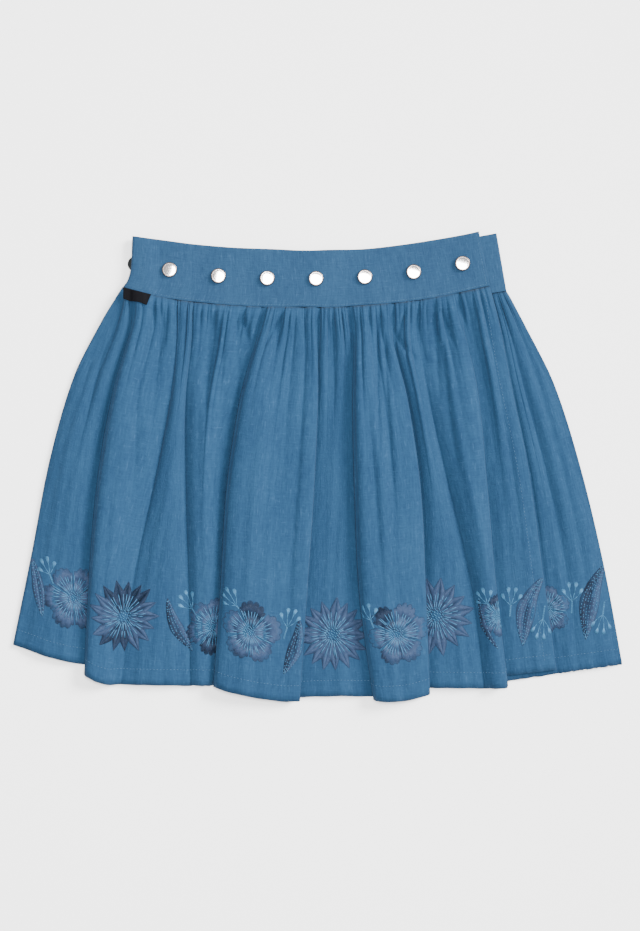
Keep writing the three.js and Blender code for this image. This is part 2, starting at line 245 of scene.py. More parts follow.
class Cloth:
    """The middle surface of a panel: rows of points in millimetres, with distances on the cloth."""

    def __init__(self, points):
        self.points = points
        self.rows, self.columns = points.shape[:2]
        self.stations = np.arange(self.rows)
        side = np.gradient(points, axis=1)
        down = np.gradient(points, axis=0)
        normal = np.cross(down, side)
        self.normals = normal / np.linalg.norm(normal, axis=2, keepdims=True)
        steps = np.linalg.norm(np.diff(points, axis=1), axis=2)
        self.across = np.concatenate([np.zeros((self.rows, 1)), np.cumsum(steps, axis=1)], axis=1)
        steps = np.linalg.norm(np.diff(points, axis=0), axis=2)
        self.down = np.concatenate([np.zeros((1, self.columns)), np.cumsum(steps, axis=0)], axis=0)

    def sample(self, grid, row, column):
        """grid between its points, at fractional rows and columns."""
        row = np.clip(row, 0, self.rows - 1.001)
        column = np.clip(column, 0, self.columns - 1.001)
        r = row.astype(int)
        c = column.astype(int)
        fr = (row - r)[..., None]
        fc = (column - c)[..., None]
        upper = grid[r, c] * (1 - fc) + grid[r, c + 1] * fc
        lower = grid[r + 1, c] * (1 - fc) + grid[r + 1, c + 1] * fc
        return upper * (1 - fr) + lower * fr

    def top_at(self, x, y):
        """Row and column of the topmost cloth over a point of the plan."""
        found = []
        for column in range(self.columns):
            line = self.points[:, column]
            row = self.row_at(column, y)
            found.append((row, np.interp(row, self.stations, line[:, 0]),
                          np.interp(row, self.stations, line[:, 2])))
        rows, places, heights = np.array(found).T
        off = np.abs(places - x)
        near = off < max(TOP_WITHIN, 1.01 * off.min())
        column = int(np.argmax(np.where(near, heights - TOP_SLOPE * off, -np.inf)))
        return rows[column], column

    def row_at(self, column, y):
        return np.interp(-y, -self.points[:, column, 1], self.stations)

    def apart(self, start, x, y):
        """How far a point of the plan lies across and up from a start, by the start's column."""
        row, column = start
        end = self.row_at(column, y)
        ruler = self.down[:, column]
        across = x - np.interp(end, self.stations, self.points[:, column, 0])
        up = np.interp(row, self.stations, ruler) - np.interp(end, self.stations, ruler)
        return np.array([across, up])

    def walk(self, start, across, up):
        """Rows and columns of points that lie across and up from a start, along the cloth."""
        row, column = start
        across, up = np.broadcast_arrays(np.asarray(across, float), np.asarray(up, float))
        ruler = self.down[:, column]
        rows = np.interp(np.interp(row, self.stations, ruler) - up, ruler, self.stations)
        columns = np.empty(rows.shape)
        for place, r in np.ndenumerate(rows):
            low = min(int(r), self.rows - 2)
            tape = blend(self.across[low], self.across[low + 1], r - low)
            columns[place] = np.interp(tape[column] + across[place], tape, np.arange(self.columns))
        return rows, columns


def select_only(piece):
    bpy.ops.object.select_all(action="DESELECT")
    piece.select_set(True)
    bpy.context.view_layer.objects.active = piece


def cloth_piece(name, cloth, thickness):
    """A shell of cloth: a grid moved onto the panel's surface, and given its thickness."""
    bpy.ops.mesh.primitive_grid_add(
        x_subdivisions=cloth.columns - 1, y_subdivisions=cloth.rows - 1, size=1, location=(0, 0, 0))
    piece = bpy.context.object
    piece.name = name
    mesh = piece.data
    places = cloth.points[::-1].reshape(-1, 3) * MM
    mesh.vertices.foreach_set("co", places.ravel())
    corners = np.empty(len(mesh.loops), int)
    mesh.loops.foreach_get("vertex_index", corners)
    width = cloth.across[-1][None, :].repeat(cloth.rows, axis=0)
    threads = np.stack([width, -cloth.down], axis=2)[::-1].reshape(-1, 2) * MM
    mesh.uv_layers[0].name = "threads"
    mesh.uv_layers[0].data.foreach_set("uv", threads[corners].ravel())
    mesh.update()
    shell = piece.modifiers.new("shell", "SOLIDIFY")
    shell.thickness = thickness * MM
    shell.offset = 0
    shell.use_rim = True
    select_only(piece)
    bpy.ops.object.modifier_apply(modifier="shell")
    bpy.ops.object.shade_smooth()
    return piece


def denim(name, pale, deep, seed):
    """Chambray denim: pale and deep threads that cross, short slubs both ways, and a soft mottle."""
    finish = Finish(
        name, Roughness=0.92, Sheen_Weight=0.02, Sheen_Roughness=0.5, Specular_IOR_Level=0.10)
    threads = finish.node("ShaderNodeUVMap", {"uv_map": "threads"}, {})
    place = finish.node("ShaderNodeMapping", {}, {"Vector": threads, "Location": (seed, seed, 0)})
    warp = finish.noise(place, (640, 75, 1), detail=3)
    weft = finish.noise(place, (85, 700, 1), detail=3)
    long_streak = finish.noise(place, (190, 16, 1), detail=2)
    cloud = finish.noise(place, (22, 14, 1), detail=3)
    slub = finish.ramp(finish.noise(place, (760, 95, 1), detail=1), (0.62, 0.0), (0.74, 1.0))
    fleck = finish.ramp(finish.noise(place, (130, 800, 1), detail=1), (0.64, 0.0), (0.76, 1.0))
    speck = finish.ramp(finish.noise(place, (520, 520, 1), detail=1), (0.30, 1.0), (0.40, 0.0))
    tone = warp * 0.34 + weft * 0.24 + long_streak * 0.18 + cloud * 0.24
    shade = finish.mix(finish.ramp(tone, (0.36, 0.0), (0.64, 1.0)), deep, pale)
    light_thread = tuple(c * 1.4 + 0.006 for c in pale)
    shade = finish.mix(slub * 0.36 + fleck * 0.34, shade, light_thread)
    shade = finish.mix(speck * 0.22, shade, tuple(c * 0.6 for c in deep))
    finish.feed("Base Color", shade)
    finish.feed("Roughness", weft * 0.1 + 0.84)
    twill = finish.noise(place, (1500, 1500, 1), detail=1)
    crinkle = finish.noise(place, (120, 60, 1), detail=3)
    height = warp * 0.5 + weft * 0.5 + twill * 0.5 + crinkle * 1.8
    finish.feed("Normal", finish.bump(height, 0.55, 0.0007))
    return finish.material


skirt_denim = denim(
    "skirt_denim", pale=(0.0118, 0.0404, 0.0845), deep=(0.0059, 0.0238, 0.0558), seed=0.0)

BACK_COLUMNS = 420
BACK_ROWS = 46
BACK_GATHERS = 44
BACK_HEM = {"left": -176.5, "right": -196.0, "bow": 24.0}

share = (np.linspace(0, 1, BACK_ROWS) ** 1.3)[:, None]
across = np.linspace(0, 1, BACK_COLUMNS)[None, :]
x = blend(along(LEFT_SIDE, share), along(RIGHT_SIDE, share), across)
waist_x = blend(LEFT_SIDE[0], RIGHT_SIDE[0], across)
hem = blend(BACK_HEM["left"], BACK_HEM["right"], across) - BACK_HEM["bow"] * np.sin(math.pi * across)
y = blend(seam_y(waist_x, "back") - SEAM_GAP, hem, share)
gather = np.abs(np.sin(math.pi * BACK_GATHERS * (across + 0.006 * np.sin(31 * across)))) ** 0.7
reach = 0.06 + 0.05 * (1 + np.sin(57 * across + 1.3 * np.sin(23 * across))) / 2
z = BACK_Z + lift(x, share) + 0.75 * gather * np.exp(-((share / reach) ** 2))
folds = 0.35 * ease(share / 0.1) * (1 + ripple(across, share, (9, 13, 17), 5)) / 2
edge = ease(np.minimum(across, 1 - across) / 0.02)
z = z - 0.15 + folds * edge
back = cloth_piece("back_panel", Cloth(np.stack(np.broadcast_arrays(x, y, z), axis=2)), SHELL)
back.data.materials.append(skirt_denim)
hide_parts("skirt_back")
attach(back, "root")


# Under-lap front: from the right side seam to a free edge hidden under the over-lap, gathered
# into the band. Only its strip beyond the wrap edge shows, with two soft folds.
TURN_RADIUS = 0.75
TURN_STEPS = 9
WAIST_TUCK = 1.4
WAIST_CROWN = 1.2
GATHER_HEIGHT = 5.0
GATHER_REACHES = [0.05, 0.08, 0.12, 0.2, 0.34]
GATHER_SWAY = 0.24
SEAM_PRESS = 0.12
SEAM_REACH = 0.035
SMALL_GATHER = 3.2
SMALL_REACH = 0.065
SEAM_DIP = 1.6
ROLL_FROM = 0.035
ROLL_TO = 0.15
EDGE_SQUASH = 0.6
OVER_SKEW = 0.55
NARROW = 16.0
NARROW_GATHER = 8.0
WAVES = (1.5, 2.5, 4.0)
WAVE_HEIGHT = 1.1
WAVE_SPAN = 50
OPEN_REACH = 3.0
OPEN_RISE = (0.4, 2.0)
UNDER_LEVELS = (3.0, 1.8)
WRAP_EDGE = [172, 182, 193, 211, 225, 239]
PANEL_ROWS = 76
FULLER = 1.4
ROUNDER = 1.45


def table(columns, *rows):
    """Rows as dictionaries, by the names of the columns."""
    return [dict(zip(columns.split(), row)) for row in rows]


def fold_line(kind, x, hem, columns=0, gathers=0, crown=(0, 0), bow=0, **more):
    """A line down a panel, and the span of cloth from it to the next line on the right.

    x is its place at each station and hem its height there, for a fold at its lower and its upper
    layer. crown is the span's height at mid length and at the hem, and bow is its hem's sag.
    """
    return {"kind": kind, "x": x, "hem": np.broadcast_to(hem, 2), "columns": columns,
            "gathers": gathers, "crown": crown, "bow": bow, **more}


UNDER_LINES = [
    fold_line("free", [-150, -160, -178, -200, -220, -238], -192, 90, bow=13),
    fold_line("valley", [131, 139, 152, 161, 170, 182], -216, 36),
    fold_line("valley", [x + 3 for x in WRAP_EDGE], -207, 33, 2, (1.6, 0.8), soft_end=1),
    fold_line("valley", [180, 192, 206, 229, 249, 261], -204, 33, 1, (1.6, 0.4),
              rise=1.6, rise_from=0.5, soft_start=1, soft_end=1),
    fold_line("valley", [185, 201, 222, 246, 268, 282], -201, 33, 1, (0.9, 0.5),
              rise=2.4, rise_from=0.1, soft_start=1, soft_end=1),
    fold_line("seam", RIGHT_SIDE, -198),
]

# Creases: place at each station, depth and half width in mm, and the shares of the length between
# which each one runs
UNDER_CREASES = table(
    "x depth width from to",
    ([178, 190, 203, 222, 240, 252], 1, 3, 0.0, 0.3),
    ([187, 205, 232, 257, 279, 295], 1, 5, 0.1, 0.7),
)


def fold_points(line, share):
    """A fold, from its low layer through the hidden turn and the full edge to its top layer.

    The full edge is roundest at mid length. Near the waist the fold opens out into a soft step.
    """
    pressed = 1 - 0.35 * ease((share - 0.6) / 0.4)
    radius = blend(TURN_RADIUS, ROUNDER * line["round"] * pressed, ease(share / 0.35))
    tuck = blend(WAIST_TUCK, line["tuck"], ease(share * 1.15)) + radius - TURN_RADIUS
    angle = math.pi * (np.linspace(0, 1, TURN_STEPS) - 0.5)
    turn_rise = TURN_RADIUS * (1 + np.sin(angle))
    hidden = np.stack([tuck + TURN_RADIUS * np.cos(angle), turn_rise], axis=1)
    edge_rise = 2 * TURN_RADIUS + radius * (1 + np.sin(angle))
    full = np.stack([EDGE_SQUASH * radius * (1 - np.cos(angle)), edge_rise], axis=1)
    between = blend(hidden[-1], full[0], 0.5)[None]
    rolled = np.concatenate([[[-1.5, 0.0]], hidden, between, full])
    t = np.linspace(0, 1, len(rolled))
    opened = np.stack([blend(-OPEN_REACH, OPEN_REACH, t), blend(*OPEN_RISE, ease(t))], axis=1)
    return blend(opened, rolled, ease((share - ROLL_FROM) / (ROLL_TO - ROLL_FROM)))


def line_points(line, share, low):
    """One line of a panel as columns of x, z and hem."""
    x = float(along(line["x"], share))
    if line["kind"] in ("over", "under"):
        sign = 1 if line["kind"] == "over" else -1
        points = fold_points(line, share)
        hem = blend(*line["hem"][::sign], np.linspace(0, 1, len(points)))
        run = np.stack([x + sign * points[:, 0], low + points[:, 1], hem], axis=1)
        return run[::sign]
    rise = line.get("rise", 0) * float(ease((share - line.get("rise_from", 0)) / 0.35))
    if line["kind"] == "free":
        rise = line.get("rise", 0) * math.sin(math.pi * min(share, 0.9))
    z = SIDE_SEAM_Z if line["kind"] == "seam" else low + rise
    return np.array([[x, z, line["hem"][0]]])


def span_points(line, start, end, share, low, creases, dice):
    """The cloth between two lines: a rounded crown with its gathers and soft creases."""
    s = np.arange(1, line["columns"]) / line["columns"]
    gathers = line["gathers"]
    count = max(gathers, 1)
    has = 1 if gathers else 0
    crown = blend(WAIST_CROWN * has, FULLER * line["crown"][0], ease(share / 0.35))
    crown = blend(crown, FULLER * line["crown"][1], ease((share - 0.5) / 0.5))
    crown = crown * min(1.0, (end[0] - start[0]) / NARROW)
    skew = blend(1.0, OVER_SKEW, ease(share / ROLL_TO)) if line["kind"] == "over" else 1.0
    sway = np.sin(2 * math.pi * s * gathers / 2.7 + gathers + 2 * share)
    place = gathers * s + GATHER_SWAY * sway * np.sin(math.pi * s)
    number = np.clip(place.astype(int), 0, count - 1)
    size = dice.uniform(0.5, 1.0, count)[number]
    reach = dice.choice(GATHER_REACHES, count)[number]
    puff = has * GATHER_HEIGHT * size * np.abs(np.sin(math.pi * place)) ** 0.5
    puff = puff * np.exp(-((share / reach) ** 2)) * blend(SEAM_PRESS, 1.0, ease(share / SEAM_REACH))
    small = np.abs(np.sin(math.pi * (2.0 * place + 0.3 * np.sin(5 * place)))) ** 0.5
    fading = np.exp(-((share / SMALL_REACH) ** 2)) * ease(share / 0.012 + 0.35)
    puff = puff + has * SMALL_GATHER * size * small * fading
    puff = puff * min(1.0, (end[0] - start[0]) / NARROW_GATHER / count)
    x = blend(start[0], end[0], s)
    softness = s ** 2 * line.get("soft_end", 0) + (1 - s) ** 2 * line.get("soft_start", 0)
    steep = 0.75 + 0.9 * softness
    z = blend(start[1], end[1], ease(s)) + crown * np.sin(math.pi * s ** skew) ** steep + puff
    wide = min(1.0, (end[0] - start[0]) / WAVE_SPAN)
    wave = ripple(wide * s, share, WAVES, gathers + 5)
    z = z + WAVE_HEIGHT * wide * wave * np.sin(math.pi * s) * ease(share / 0.12)
    for crease in creases:
        span = crease["to"] - crease["from"]
        depth = crease["depth"] * ease((share - crease["from"]) / (0.2 * span) + 0.2)
        depth = depth * ease((crease["to"] - share) / (0.45 * span))
        z = z - depth * np.exp(-np.abs((x - along(crease["x"], share)) / crease["width"]) ** 1.1)
    z = np.maximum(z, low + 0.1 * np.sin(math.pi * s))
    hem = blend(start[2], end[2], s) - line["bow"] * np.sin(math.pi * s)
    return np.stack([x, z, hem], axis=1)


def panel_cloth(lines, creases, levels, layer, seed):
    """The middle surface of a gathered panel, whose lowest layer has a level at and below the waist."""
    shares = np.linspace(0, 1, PANEL_ROWS)
    shares = shares * (0.6 + 0.4 * shares)
    rows = []
    for share in shares:
        low = blend(*levels, float(ease(share / SETTLED)))
        dice = np.random.default_rng(seed)
        runs = [line_points(line, share, low) for line in lines]
        section = [runs[0]]
        for i in range(len(lines) - 1):
            start, end = runs[i][-1], runs[i + 1][0]
            section.append(span_points(lines[i], start, end, share, low, creases, dice))
            section.append(runs[i + 1])
        rows.append(np.concatenate(section))
    grid = np.array(rows)
    x, z, hem = grid[..., 0], grid[..., 1], grid[..., 2]
    down = shares[:, None]
    across = np.linspace(0, 1, x.shape[1])[None, :]
    wander = 0.5 * ripple(across, down, (11, 19, 31), seed)
    y = blend(seam_y(x[:1], layer) - SEAM_GAP, hem + wander, down)
    z = z - SEAM_DIP * (1 - ease(down / 0.02))
    return Cloth(np.stack([x, y, z + lift(x, down)], axis=2))


under_cloth = panel_cloth(UNDER_LINES, UNDER_CREASES, UNDER_LEVELS, "under", 11)
under_front = cloth_piece("under_front", under_cloth, SHELL)
under_front.data.materials.append(skirt_denim)
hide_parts("skirt_under_front")
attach(under_front, "root")


# Over-lap front: one gathered panel from the left side seam to the free wrap edge. Six large
# folds lie over or under their neighbours, with soft valleys and creases between them.
FRONT_LEVELS = (4.75, 3.2)

FRONT_LINES = [
    fold_line("seam", LEFT_SIDE, -178, 45, 2, (4.5, 3), 2),
    fold_line("over", [-184, -187, -203, -219, -228, -233], (-198, -209), 45, 5, (6.5, 4), 3,
              tuck=20, round=1.9),
    fold_line("valley", [-140, -141, -147, -164, -185, -197], -218, 45, 2, (5, 3)),
    fold_line("valley", [-124, -126, -132, -132, -129, -127], -219, 66, 9, (6.5, 3)),
    fold_line("over", [-53, -63, -78, -91, -97, -104], (-219, -220), 51, 5, (6.5, 4.5), 2,
              tuck=24, round=2.1, soft_end=1),
    fold_line("valley", [-13, -13, -16, -22, -28, -31], -235, 15, 2, (1.5, 0.6),
              rise=6.5, soft_start=1),
    fold_line("under", [0, 0, 0, -4, -11, -18], (-234, -231), 51, 4, (1.6, 1.4), -1,
              tuck=22, round=1.9),
    fold_line("over", [32, 36, 35, 37, 42, 56], (-230, -233.5), 45, 5, (6, 4.5), 3,
              tuck=20, round=1.9),
    fold_line("under", [74, 76, 90, 103, 108, 112], (-228, -221), 39, 3, (4, 2.5),
              tuck=20, round=1.9),
    fold_line("valley", [102, 102, 111, 131, 154, 167], -222, 39, 5, (5, 3)),
    fold_line("under", [139, 147, 160, 169, 178, 190], (-221, -209), 36, 3, (2.4, 1.6),
              tuck=12, round=1.7),
    fold_line("free", WRAP_EDGE, -203, rise=2.8),
]

# Long soft creases on the front, from left to right, then the short slanted ones under the band
FRONT_CREASES = table(
    "x depth width from to",
    ([-190, -206, -222, -240, -256, -268], 3.2, 6, 0.02, 0.45),
    ([-192, -212, -232, -252, -270, -285], 2, 4, 0, 0.35),
    ([-164, -166, -179, -184, -190, -194], 5.2, 5, 0, 0.55),
    ([-152, -156, -163, -172, -180, -190], 2.6, 4, 0, 0.4),
    ([-107, -107, -111, -114, -116, -118], 4.8, 5, 0, 0.35),
    ([-83, -79, -75, -76, -80, -84], 4, 4, 0, 0.25),
    ([-95, -93, -98, -104, -110, -114], 2.4, 5, 0.1, 0.7),
    ([-74, -72, -72, -74, -80, -88], 3, 3, 0, 0.2),
    ([-40, -42, -50, -58, -64, -70], 3.2, 5, 0, 0.3),
    ([-28, -28, -34, -44, -52, -58], 4.4, 9, 0.02, 0.6),
    ([16, 18, 17, 16, 14, 12], 2.4, 4, 0, 0.35),
    ([60, 60, 60, 64, 70, 76], 5.2, 4, 0.02, 0.42),
    ([70, 68, 70, 76, 84, 92], 4, 5, 0.05, 0.62),
    ([46, 46, 50, 58, 66, 74], 2.6, 6, 0.2, 0.85),
    ([114, 118, 122, 132, 140, 150], 3.6, 4, 0, 0.3),
    ([126, 126, 130, 142, 156, 168], 3.2, 5, 0, 0.5),
    ([150, 155, 168, 180, 192, 204], 1.8, 4, 0, 0.6),
    ([160, 168, 178, 195, 208, 220], 1.6, 4, 0, 0.8),
    ([-195, -206, -236, -250, -260, -270], 2.6, 2, 0, 0.18),
    ([-77, -68, -56, -50, -50, -50], 3, 2, 0.02, 0.16),
    ([-31, -52, -75, -80, -80, -80], 3, 2, 0.01, 0.12),
    ([29, 46, 70, 80, 80, 80], 2.6, 2, 0, 0.07),
    ([53, 82, 125, 140, 140, 140], 3.2, 2, 0.06, 0.18),
    ([92, 79, 65, 60, 60, 60], 2.6, 2, 0.01, 0.11),
    ([99, 101, 121, 130, 140, 150], 2.8, 2, 0, 0.19),
    ([116, 133, 158, 165, 170, 175], 2.6, 2, 0.02, 0.13),
    ([137, 147, 162, 174, 186, 198], 2.8, 2, 0.03, 0.38),
)

front_cloth = panel_cloth(FRONT_LINES, FRONT_CREASES, FRONT_LEVELS, "front", 3)
front = cloth_piece("over_front", front_cloth, SHELL)
front.data.materials.append(skirt_denim)
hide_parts("skirt_front")
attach(front, "root")


# Waistband: one strip of the same denim folded double round its interlining, from the hidden
# under-lap end round the right side, the back and the left side to the free end on the front.
BAND_SHELL = 1.6
BACK_BAND_Z = 0.9
UNDER_BAND_Z = 3.0
FRONT_BAND_Z = 5.1
BAND_ROWS = 17
BAND_RIGHT = (189.2, 179.2)
BAND_FREE_END = (172.4, 161.1)
UNDER_LAP_END_X = -152.0
BAND_THICK = 1.8
BAND_HEIGHT = 57.0
BAND_STEPS = {"under": 50, "turn": 12, "back": 90, "front": 160}


def top_y(x, layer):
    right = 7.4e-4 if layer == "front" else 5.4e-4
    return 216.4 + np.where(x < 0, 4.1e-4, right) * x * x


def band_section(height):
    """The strip's path at one height, from the seam at 0 to the top at 1, with each point's layer."""
    left = -187 + 1.7 * height - 7.8 * (1 - height) ** 6
    right = blend(BAND_RIGHT[0], BAND_RIGHT[1], height)
    end = blend(BAND_FREE_END[0], BAND_FREE_END[1], height)
    right_turn = (UNDER_BAND_Z - BACK_BAND_Z) / 2
    left_turn = (FRONT_BAND_Z - BACK_BAND_Z) / 2
    right_x = right - BAND_THICK / 2 - right_turn
    left_x = left + BAND_THICK / 2 + left_turn
    path = []

    def flat(start, finish, steps, z, layer):
        for k in range(steps):
            path.append((blend(start, finish, k / steps), z, layer))

    def turn(x, z, radius, start, sweep, layer):
        for k in range(BAND_STEPS["turn"]):
            angle = start + sweep * k / BAND_STEPS["turn"]
            path.append((x + radius * math.cos(angle), z + radius * math.sin(angle), layer))

    flat(UNDER_LAP_END_X, right_x, BAND_STEPS["under"], UNDER_BAND_Z, "under")
    turn(right_x, BACK_BAND_Z + right_turn, right_turn, math.pi / 2, -math.pi, "under")
    flat(right_x, left_x, BAND_STEPS["back"], BACK_BAND_Z, "back")
    turn(left_x, BACK_BAND_Z + left_turn, left_turn, -math.pi / 2, -math.pi, "front")
    flat(left_x, end, BAND_STEPS["front"], FRONT_BAND_Z, "front")
    path.append((end, FRONT_BAND_Z, "front"))
    return path


seam_path = band_section(0)
top_path = band_section(1)
band_rows = []
for height in np.linspace(1, 0, BAND_ROWS):
    row = []
    for point, low, high in zip(band_section(height), seam_path, top_path):
        layer = point[2]
        y = blend(float(seam_y(low[0], layer)), float(top_y(high[0], layer)), height)
        row.append((point[0], y, point[1] + float(lift(point[0]))))
    band_rows.append(row)
band_points = np.array(band_rows)
front_start = BAND_STEPS["under"] + BAND_STEPS["back"] + 2 * BAND_STEPS["turn"]
on_front = ease((np.arange(band_points.shape[1]) - front_start) / BAND_STEPS["turn"])[None, :]
heights = np.linspace(1, 0, BAND_ROWS)[:, None]
run = band_points[..., 0]
dents = 0.35 * np.sin(run / 24.4 * math.pi + 0.8) * np.sin(math.pi * heights) ** 2
pucker = 0.22 * np.sin(run / 2.9 + 1.7 * np.sin(run / 17)) * (1 - ease(heights / 0.25))
band_points[..., 2] += on_front * (dents + pucker + 0.25 * np.sin(run / 41 + 2.2 * heights))
sway = 0.35 * np.sin(run / 13 + 1.1 * np.sin(run / 31))
band_points[..., 1] += on_front * sway * (2 * heights - 1)
band_cloth = Cloth(band_points)
band = cloth_piece("band", band_cloth, BAND_SHELL)
rounded = band.modifiers.new("rounded", "BEVEL")
rounded.width = 0.55 * MM
rounded.segments = 3
rounded.limit_method = "ANGLE"
rounded.angle_limit = math.radians(60)
select_only(band)
bpy.ops.object.modifier_apply(modifier="rounded")
bpy.ops.object.shade_smooth()
band_denim = denim(
    "band_denim", pale=(0.0142, 0.0430, 0.0870), deep=(0.0078, 0.0268, 0.0600), seed=3.7)
band.data.materials.append(band_denim)
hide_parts("waistband")
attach(band, "root")


# Topstitching: pale blue thread in short straight stitches, along the hems, the wrap facing, the
# lower edge of the band and its free end. Each stitch is a small raised thread on the cloth.
STITCH_SIDES = 3


def thread_mesh(name, cloth, rows, columns, material, slot_name, width, height, rest):
    """Raised threads on a cloth. rows and columns hold the stations of each thread."""
    count, stations = rows.shape
    points = cloth.sample(cloth.points, rows, columns)
    normals = cloth.sample(cloth.normals, rows, columns)
    normals = normals / np.linalg.norm(normals, axis=2, keepdims=True)
    run = np.gradient(points, axis=1)
    run = run / np.maximum(np.linalg.norm(run, axis=2, keepdims=True), 1e-9)
    beside = np.cross(normals, run)
    swell = np.sin(math.pi * (np.linspace(0, 1, stations) * 0.5 + 0.25))[None, :, None]
    wide = np.broadcast_to(np.asarray(width, float).reshape(-1, 1, 1), (count, 1, 1)) * swell / 2
    base = points + normals * rest
    crest = base + normals * height * swell
    corners = np.stack([base - beside * wide, crest, base + beside * wide], axis=2)
    vertices = corners.reshape(-1, 3) * MM
    first = (np.arange(count) * stations * STITCH_SIDES)[:, None]
    faces = []
    for k in range(stations - 1):
        for j in range(STITCH_SIDES):
            a = k * STITCH_SIDES + j
            b = k * STITCH_SIDES + (j + 1) % STITCH_SIDES
            faces.append(first + np.array([[a, b, b + STITCH_SIDES, a + STITCH_SIDES]]))
    quads = np.concatenate(faces).tolist()
    ends = (first + np.array([[0, 1, 2]])).tolist()
    last = (stations - 1) * STITCH_SIDES
    ends += (first + last + np.array([[2, 1, 0]])).tolist()
    mesh = bpy.data.meshes.new(name)
    mesh.from_pydata(vertices.tolist(), [], quads + ends)
    mesh.update()
    piece = bpy.data.objects.new(name, mesh)
    bpy.context.collection.objects.link(piece)
    select_only(piece)
    bpy.ops.object.mode_set(mode="EDIT")
    bpy.ops.mesh.select_all(action="SELECT")
    bpy.ops.mesh.normals_make_consistent(inside=False)
    bpy.ops.object.mode_set(mode="OBJECT")
    bpy.ops.object.shade_smooth()
    mesh.materials.append(material)
    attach(piece, "root")
    return piece


def thread_finish(name, colour, deep):
    """Embroidery thread: softly shiny, its tone a little uneven from stitch to stitch."""
    finish = Finish(name, Roughness=0.5, Sheen_Weight=0.02, Specular_IOR_Level=0.12)
    place = finish.place()
    patch = finish.noise(place, (260, 260, 260), detail=2)
    twist = finish.noise(place, (2600, 2600, 2600), detail=1)
    finish.feed("Base Color", finish.mix(finish.ramp(patch, (0.35, 0.0), (0.65, 1.0)), deep, colour))
    finish.feed("Normal", finish.bump(twist, 0.4, 0.0003))
    return finish.material


def stitch_line(cloth, rows, columns, length, gap):
    """Stations of the stitches along a path on the cloth, given by its rows and columns."""
    points = cloth.sample(cloth.points, rows, columns)
    steps = np.linalg.norm(np.diff(points, axis=0), axis=1)
    tape = np.concatenate([[0], np.cumsum(steps)])
    starts = np.arange(0.5, tape[-1] - length, length + gap)
    places = starts[:, None] + np.linspace(0, length, 3)[None, :]
    return np.interp(places, tape, rows), np.interp(places, tape, columns)


def joined(*batches):
    """Batches of stitches as one: their rows, their columns and any widths, each end to end."""
    return [np.concatenate(values) for values in zip(*batches)]


def above_hem(cloth, distance):
    """Rows at a distance above the hem, one for each column."""
    columns = np.arange(1.0, cloth.columns - 1)
    rows = []
    for c in columns.astype(int):
        ruler = cloth.down[:, c]
        rows.append(np.interp(ruler[-1] - distance, ruler, cloth.stations))
    return np.array(rows), columns


HEM_DEPTH = 16.0
FACING = 11.0
TOPSTITCH = {"length": 1.9, "gap": 1.5}
TOPSTITCH_SIZE = {"width": 0.55, "height": 0.28, "rest": SHELL / 2 - 0.05}
BAND_STITCH = {"length": 2.0, "gap": 0.7}
BAND_STITCH_SIZE = {"width": 0.45, "height": 0.22, "rest": BAND_SHELL / 2 - 0.06}
BAND_EDGE = {"lower": 2.2, "end": 3.0}
BAND_COLUMN = 2.2
topstitch_thread = thread_finish("topstitch_thread", (0.040, 0.096, 0.165), (0.022, 0.060, 0.118))

hem_path = stitch_line(front_cloth, *above_hem(front_cloth, HEM_DEPTH), **TOPSTITCH)
facing_rows = np.linspace(1, front_cloth.rows - 2, 200)
facing_columns = []
for r in facing_rows.astype(int):
    ruler = front_cloth.across[r]
    facing_columns.append(np.interp(ruler[-1] - FACING, ruler, np.arange(front_cloth.columns)))
facing_path = stitch_line(front_cloth, facing_rows, np.array(facing_columns), **TOPSTITCH)
thread_mesh("front_topstitch", front_cloth, *joined(hem_path, facing_path),
            topstitch_thread, "denim", **TOPSTITCH_SIZE)

under_hem = stitch_line(under_cloth, *above_hem(under_cloth, HEM_DEPTH), **TOPSTITCH)
thread_mesh("under_topstitch", under_cloth, *under_hem, topstitch_thread, "denim", **TOPSTITCH_SIZE)

band_columns = np.arange(float(front_start + BAND_STEPS["turn"]), band_cloth.columns - 1)
lower = np.full(len(band_columns), (BAND_ROWS - 1) * (1 - BAND_EDGE["lower"] / BAND_HEIGHT))
low_edge = stitch_line(band_cloth, lower, band_columns, **BAND_STITCH)
end_rows = np.linspace(0.6, BAND_ROWS - 1.6, 60)
end_column = np.full(60, band_cloth.columns - 1 - BAND_EDGE["end"] / BAND_COLUMN)
free_end = stitch_line(band_cloth, end_rows, end_column, **BAND_STITCH)
thread_mesh("band_topstitch", band_cloth, *joined(low_edge, free_end),
            topstitch_thread, "denim_band", **BAND_STITCH_SIZE)


# Embroidered border: satin-stitched flowers and leaves in mauve and navy thread, with pale blue
# straight stitches for the flowers' centres, seeds on the leaves and sprigs of berries.
# Thin navy stitches along the edges of petals and leaves are painted shadow of the raised satin.
SATIN = 0.62
COVER = 1.25
MAUVE = thread_finish("mauve_thread", (0.0222, 0.0408, 0.0860), (0.0155, 0.0316, 0.0700))
NAVY = thread_finish("navy_thread", (0.0075, 0.0170, 0.0400), (0.0040, 0.0110, 0.0270))
SKY = thread_finish("sky_thread", (0.034, 0.112, 0.205), (0.022, 0.082, 0.160))

# A flower's place is its middle in mm, and its navy petals point between the given directions
FLOWERS = table(
    "cloth kind place radius petals turn navy",
    ("front", "round", (-244, -131), 32, 6, 8, []),
    ("front", "star", (-194, -150), 37, 17, 4, [(35, 150), (225, 300)]),
    ("front", "round", (-104, -160), 29, 6, 20, [(230, 300)]),
    ("front", "round", (-67, -165), 31, 5, 18, [(60, 120)]),
    ("front", "star", (15, -168), 37, 17, 0, []),
    ("front", "round", (79, -167), 31, 6, 8, [(95, 140)]),
    ("front", "star", (118, -149), 39, 16, 10, []),
    ("front", "round", (180, -150), 21, 6, 30, [(70, 110)]),
    ("under", "round", (230, -143), 25, 6, 15, []),
)

